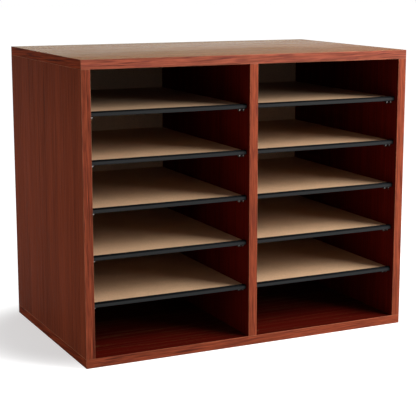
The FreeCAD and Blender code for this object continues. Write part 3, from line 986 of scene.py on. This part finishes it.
def make_bands():
    settings = bpy.context.scene.organizer_case
    for node, grain in BAND_GRAIN.items():
        low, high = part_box(node)
        axis, sign = outward_side(node)
        outer = high[axis] if sign > 0 else low[axis]
        form = start_box(low, high)
        rim = [
            edge for edge in form.edges
            if all(abs(vert.co[axis] - outer) < WELD_DISTANCE for vert in edge.verts)
        ]
        round_edges(form, rim, settings.band_edge, segments=3)
        colour, look = band_print(node, grain, settings)
        material = make_wood_material(f"{node}_print", colour, grain, look)
        finish_piece(form, f"{node}_strip", material, CASE_BODY, [node])


def make_back_panel():
    settings = bpy.context.scene.organizer_case
    form = start_box(*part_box("back_panel"))
    round_edges(form, list(form.edges), settings.back_edge, segments=2)
    # The back panel's pale smooth side is partly painted light.
    material = make_hardboard_material(
        "back_hardboard", settings.back, settings.rear, BACK_LOOK,
    )
    finish_piece(form, "back_panel_sheet", material, CASE_BODY, ["back_panel"])
    dress_node(NAILS, make_metal_material("nail_steel", NAIL_STEEL, NAIL_LOOK))


def dress_dowels():
    beech = make_dowel_material("dowel_beech", DOWEL_LOOK)
    for node in DOWELS:
        dress_node(node, beech)


# The shelves

def make_boards():
    settings = bpy.context.scene.organizer_shelves
    material = make_hardboard_material(
        "shelf_hardboard", settings.board, settings.underside, BOARD_LOOK,
    )
    for shelf in SHELVES:
        node = f"{shelf}_board"
        form = start_box(*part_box(node))
        round_edges(form, list(form.edges), settings.board_edge, segments=2)
        finish_piece(form, f"{shelf}_sheet", material, shelf, [node])


def channel_outline(low, high, settings):
    """Corners of the molding's section, from its lower back corner round to the start."""
    front = low.y
    back = high.y
    inner = front + settings.wall
    slot_low = low.z + settings.lip
    slot_high = high.z - settings.lip
    return [
        (back, low.z), (front, low.z), (front, high.z), (back, high.z),
        (back, slot_high), (inner, slot_high), (inner, slot_low), (back, slot_low),
    ]


def make_molding_form(low, high, settings):
    """A molding as long as its CAD box, with its corners rounded."""
    form = bmesh.new()
    corners = channel_outline(low, high, settings)
    verts = [form.verts.new((low.x, back, up)) for back, up in corners]
    section = form.faces.new(verts)
    grown = bmesh.ops.extrude_face_region(form, geom=[section])
    new_verts = [item for item in grown["geom"] if isinstance(item, bmesh.types.BMVert)]
    bmesh.ops.translate(form, vec=(high.x - low.x, 0.0, 0.0), verts=new_verts)
    bmesh.ops.recalc_face_normals(form, faces=form.faces)

    def long_edges_at(back, least_up=low.z, most_up=high.z):
        return [
            edge for edge in form.edges
            if edge.calc_length() > (high.x - low.x) / 2
            and all(
                abs(vert.co.y - back) < WELD_DISTANCE
                and least_up - WELD_DISTANCE < vert.co.z < most_up + WELD_DISTANCE
                for vert in edge.verts
            )
        ]

    middle = (low.z + high.z) / 2
    lower_edges = long_edges_at(low.y, most_up=middle)
    round_edges(form, lower_edges, settings.front_round, segments=5)
    upper_edges = long_edges_at(low.y, least_up=middle)
    round_edges(form, upper_edges, settings.upper_round, segments=5)
    round_edges(form, long_edges_at(high.y), settings.lip_round, segments=3)
    ends = [
        edge for edge in form.edges
        if any(
            all(abs(vert.co.x - end) < WELD_DISTANCE for vert in edge.verts)
            for end in (low.x, high.x)
        )
    ]
    round_edges(form, ends, settings.end_round, segments=1)
    return form


def make_moldings():
    settings = bpy.context.scene.organizer_shelves
    material = make_plastic_material("molding_plastic", settings.plastic, PLASTIC_LOOK)
    for shelf in SHELVES:
        node = f"{shelf}_molding"
        form = make_molding_form(*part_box(node), settings)
        finish_piece(form, f"{shelf}_channel", material, shelf, [node])


def pin_profile(settings, shank_length):
    """Distance from the panel's face and radius at each corner of a pin's outline."""
    collar = settings.collar_width
    neck = collar + settings.neck_width
    return [
        (-shank_length, 0.0), (-shank_length, settings.shank_radius),
        (0.0, settings.shank_radius), (0.0, settings.collar_radius),
        (collar, settings.collar_radius), (collar, settings.neck_radius),
        (neck, settings.neck_radius), (neck, settings.pin_radius),
        (settings.reach, settings.pin_radius), (settings.reach, 0.0),
    ]


PIN_STEPS = 32
SMALL_ROUND = 0.25 * MM
SIDE_GAP = 1.6 * MM


def add_pin(form, settings, wall, way, depth, height, shank_length):
    """Adds one turned pin. Its axis runs along X from the panel's face at wall."""
    turned = bmesh.new()
    verts = [
        turned.verts.new((wall + way * along, depth, height + radius))
        for along, radius in pin_profile(settings, shank_length)
    ]
    edges = [turned.edges.new(pair) for pair in zip(verts, verts[1:])]
    bmesh.ops.spin(
        turned, geom=verts + edges, cent=(wall, depth, height), axis=(1.0, 0.0, 0.0),
        angle=math.tau, steps=PIN_STEPS, use_merge=True, use_duplicate=False,
    )
    bmesh.ops.remove_doubles(turned, verts=turned.verts, dist=WELD_DISTANCE)
    bmesh.ops.recalc_face_normals(turned, faces=turned.faces)

    def rim_at(along, radius):
        place = wall + way * along
        return [
            edge for edge in turned.edges
            if all(
                abs(vert.co.x - place) < WELD_DISTANCE
                and abs(math.hypot(vert.co.y - depth, vert.co.z - height) - radius)
                < WELD_DISTANCE
                for vert in edge.verts
            )
        ]

    collar_rim = rim_at(settings.collar_width, settings.collar_radius)
    round_edges(turned, collar_rim, SMALL_ROUND, segments=2)
    neck = settings.collar_width + settings.neck_width
    round_edges(turned, rim_at(neck, settings.pin_radius), SMALL_ROUND, segments=2)
    tip_rim = rim_at(settings.reach, settings.pin_radius)
    round_edges(turned, tip_rim, settings.tip_round, segments=5)
    mesh = mesh_from(turned, "turned_pin")
    form.from_mesh(mesh)
    bpy.data.meshes.remove(mesh)


def make_pins():
    settings = bpy.context.scene.organizer_shelves
    # The pins' dark nickel colour is painted shade.
    material = make_metal_material("pin_nickel", settings.nickel, PIN_LOOK)
    for shelf in SHELVES:
        node = f"{shelf}_pins"
        low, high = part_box(node)
        height = (low.z + high.z) / 2
        board_low, board_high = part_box(f"{shelf}_board")
        walls = ((board_low.x - SIDE_GAP, 1), (board_high.x + SIDE_GAP, -1))
        form = bmesh.new()
        for wall, way in walls:
            outer = low.x if way > 0 else high.x
            for depth in (low.y + settings.collar_radius, high.y - settings.collar_radius):
                add_pin(form, settings, wall, way, depth, height, abs(wall - outer))
        finish_piece(form, f"{shelf}_pin_set", material, CASE_BODY, [node])


# The stage

SENSOR_WIDTH = 36.0
NEAREST_SEEN = 0.05
FARTHEST_SEEN = 100.0


def make_camera():
    """Aims the camera by its angles. Its sensor is measured in millimetres."""
    settings = bpy.context.scene.organizer_stage
    azimuth = settings.azimuth
    elevation = settings.elevation
    back = Vector((
        math.sin(azimuth) * math.cos(elevation),
        -math.cos(azimuth) * math.cos(elevation),
        math.sin(elevation),
    ))
    right = (-back).cross(Vector((0.0, 0.0, 1.0))).normalized()
    up = right.cross(-back)
    turned_right = math.cos(settings.roll) * right + math.sin(settings.roll) * up
    turned_up = math.cos(settings.roll) * up - math.sin(settings.roll) * right
    lens = bpy.data.cameras.new("camera")
    lens.sensor_width = SENSOR_WIDTH
    lens.lens = settings.lens
    lens.shift_x = settings.shift_x
    lens.shift_y = settings.shift_y
    lens.clip_start = NEAREST_SEEN
    lens.clip_end = FARTHEST_SEEN
    camera = add_object("camera", lens)
    turn = Matrix((turned_right, turned_up, back)).transposed().to_4x4()
    camera.matrix_world = Matrix.Translation(Vector(settings.camera_place)) @ turn
    bpy.context.scene.camera = camera


def add_soft_lamp(name, place, aim, width, height, power):
    lamp = bpy.data.lights.new(name, "AREA")
    lamp.shape = "RECTANGLE"
    lamp.size = width
    lamp.size_y = height
    lamp.energy = power
    holder = add_object(name, lamp)
    way = Vector(aim) - Vector(place)
    turn = way.to_track_quat("-Z", "Y").to_matrix().to_4x4()
    holder.matrix_world = Matrix.Translation(Vector(place)) @ turn


def seen_share(tree, kinds):
    """A mask of the rays of the named kinds, which show the white background."""
    path = tree.nodes.new("ShaderNodeLightPath")
    share = path.outputs[kinds[0]]
    for kind in kinds[1:]:
        share = calculate(tree, "MAXIMUM", share, path.outputs[kind])
    return share


BACKGROUND_RAYS = ("Is Camera Ray", "Is Glossy Ray", "Is Transmission Ray")


def make_surround():
    """A white background, and a grey level of light from all around."""
    settings = bpy.context.scene.organizer_stage
    world = bpy.data.worlds.new("studio")
    world.use_nodes = True
    tree = world.node_tree
    background = tree.nodes["Background"]
    background.inputs["Color"].default_value = WHITE
    share = seen_share(tree, BACKGROUND_RAYS)
    strength = spread(tree, share, 0.0, 1.0, settings.surround, 1.0)
    put(tree, background.inputs["Strength"], strength)
    bpy.context.scene.world = world


# The strip of floor that keeps the case's shadow, and the distance in which it fades.
FLOOR_HEIGHT = -0.1 * MM
STRIP_LEFT = -0.18
STRIP_RIGHT = 0.3
STRIP_MIDDLE = 0.02
FADE_RANGE = (0.1, 0.24)
STRIP_SHADE = (0.62, 0.62, 0.62, 1.0)
STRIP_GLOW = 0.49


def far_from_shadow(tree):
    """A mask that grows with the distance from the strip that keeps the shadow."""
    coordinates = tree.nodes.new("ShaderNodeTexCoord")
    place = split_axes(tree, coordinates.outputs["Object"])
    leftwards = calculate(tree, "SUBTRACT", place["X"], STRIP_LEFT)
    leftwards = calculate(tree, "MINIMUM", leftwards, 0.0)
    rightwards = calculate(tree, "SUBTRACT", place["X"], STRIP_RIGHT)
    rightwards = calculate(tree, "MAXIMUM", rightwards, 0.0)
    sideways = calculate(tree, "ADD", leftwards, rightwards)
    backwards = calculate(tree, "SUBTRACT", place["Y"], STRIP_MIDDLE)
    distance = tree.nodes.new("ShaderNodeVectorMath")
    distance.operation = "LENGTH"
    put(tree, distance.inputs[0], join_axes(tree, sideways, backwards))
    return spread(tree, distance.outputs["Value"], *FADE_RANGE)


def make_floor_material(colour):
    """White to the eye, but for the shadow, and the given colour as it lights the case."""
    material = bpy.data.materials.new("floor")
    material.use_nodes = True
    tree = material.node_tree
    tree.nodes.remove(tree.nodes["Principled BSDF"])
    output = tree.nodes["Material Output"]
    far = far_from_shadow(tree)
    seen = seen_share(tree, BACKGROUND_RAYS)
    matte = tree.nodes.new("ShaderNodeBsdfDiffuse")
    near_colour = blend(tree, seen, colour, STRIP_SHADE)
    put(tree, matte.inputs["Color"], blend(tree, far, near_colour, colour))
    glow = tree.nodes.new("ShaderNodeEmission")
    put(tree, glow.inputs["Color"], WHITE)
    level = spread(tree, far, 0.0, 1.0, STRIP_GLOW, 1.0)
    put(tree, glow.inputs["Strength"], calculate(tree, "MULTIPLY", level, seen))
    both = tree.nodes.new("ShaderNodeAddShader")
    put(tree, both.inputs[0], matte.outputs[0])
    put(tree, both.inputs[1], glow.outputs[0])
    put(tree, output.inputs["Surface"], both.outputs[0])
    return material


def make_floor():
    settings = bpy.context.scene.organizer_stage
    form = bmesh.new()
    bmesh.ops.create_grid(form, x_segments=1, y_segments=1, size=settings.floor_size / 2)
    bmesh.ops.translate(form, vec=(0.0, 0.0, FLOOR_HEIGHT), verts=form.verts)
    mesh = mesh_from(form, "floor")
    mesh.materials.append(make_floor_material(settings.floor))
    floor = add_object("floor", mesh)


CASE_MIDDLE = (0.0, 0.0, 0.2)


def make_lamps():
    settings = bpy.context.scene.organizer_stage
    add_soft_lamp(
        "key", settings.key_place, CASE_MIDDLE, settings.key_width, settings.key_height,
        settings.key_power,
    )
    add_soft_lamp(
        "fill", settings.fill_place, CASE_MIDDLE, settings.fill_width, settings.fill_height,
        settings.fill_power,
    )


# Operators

class ORGANIZER_OT_panels(bpy.types.Operator):
    """Make the laminated top, bottom, sides and divider"""

    bl_idname = "organizer.panels"
    bl_label = "Panels"

    def execute(self, context):
        make_panels()
        return {"FINISHED"}


class ORGANIZER_OT_bands(bpy.types.Operator):
    """Make the edge bands on the panels' fronts and ends"""

    bl_idname = "organizer.bands"
    bl_label = "Edge bands"

    def execute(self, context):
        make_bands()
        return {"FINISHED"}


class ORGANIZER_OT_back(bpy.types.Operator):
    """Make the back panel and dress its nails"""

    bl_idname = "organizer.back"
    bl_label = "Back panel"

    def execute(self, context):
        make_back_panel()
        return {"FINISHED"}


class ORGANIZER_OT_dowels(bpy.types.Operator):
    """Dress the dowels that join the panels"""

    bl_idname = "organizer.dowels"
    bl_label = "Dowels"

    def execute(self, context):
        dress_dowels()
        return {"FINISHED"}


class ORGANIZER_OT_boards(bpy.types.Operator):
    """Make the ten shelf boards"""

    bl_idname = "organizer.boards"
    bl_label = "Shelf boards"

    def execute(self, context):
        make_boards()
        return {"FINISHED"}


class ORGANIZER_OT_moldings(bpy.types.Operator):
    """Make the black molding on each shelf's front edge"""

    bl_idname = "organizer.moldings"
    bl_label = "Moldings"

    def execute(self, context):
        make_moldings()
        return {"FINISHED"}


class ORGANIZER_OT_pins(bpy.types.Operator):
    """Make the four pins under each shelf"""

    bl_idname = "organizer.pins"
    bl_label = "Shelf pins"

    def execute(self, context):
        make_pins()
        return {"FINISHED"}


class ORGANIZER_OT_stage(bpy.types.Operator):
    """Set the camera, the floor, the surround and the lamps"""

    bl_idname = "organizer.stage"
    bl_label = "Stage"

    def execute(self, context):
        context.scene.view_settings.view_transform = "Standard"
        make_camera()
        make_surround()
        make_floor()
        make_lamps()
        return {"FINISHED"}


OPERATORS = (
    ORGANIZER_OT_stage,
    ORGANIZER_OT_panels,
    ORGANIZER_OT_bands,
    ORGANIZER_OT_back,
    ORGANIZER_OT_dowels,
    ORGANIZER_OT_boards,
    ORGANIZER_OT_moldings,
    ORGANIZER_OT_pins,
)
SETTINGS = {
    "organizer_case": OrganizerCaseSettings,
    "organizer_shelves": OrganizerShelfSettings,
    "organizer_stage": OrganizerStageSettings,
}


class ORGANIZER_PT_sidebar(bpy.types.Panel):
    """Lists what can be made for the organizer"""

    bl_idname = "ORGANIZER_PT_sidebar"
    bl_label = "Organizer"
    bl_space_type = "VIEW_3D"
    bl_region_type = "UI"
    bl_category = "Organizer"

    def draw(self, context):
        for operator in OPERATORS:
            self.layout.operator(operator.bl_idname)
        for name, settings in SETTINGS.items():
            box = self.layout.box()
            for setting in settings.__annotations__:
                box.prop(getattr(context.scene, name), setting)


CLASSES = (*SETTINGS.values(), *OPERATORS, ORGANIZER_PT_sidebar)


def register():
    for item in CLASSES:
        bpy.utils.register_class(item)
    for name, settings in SETTINGS.items():
        setattr(bpy.types.Scene, name, bpy.props.PointerProperty(type=settings))


def unregister():
    for name in SETTINGS:
        delattr(bpy.types.Scene, name)
    for item in reversed(CLASSES):
        bpy.utils.unregister_class(item)


def main():
    register()
    bpy.ops.organizer.stage()
    bpy.ops.organizer.panels()
    bpy.ops.organizer.bands()
    bpy.ops.organizer.back()
    bpy.ops.organizer.dowels()
    bpy.ops.organizer.boards()
    bpy.ops.organizer.moldings()
    bpy.ops.organizer.pins()


if __name__ == "__main__":
    main()
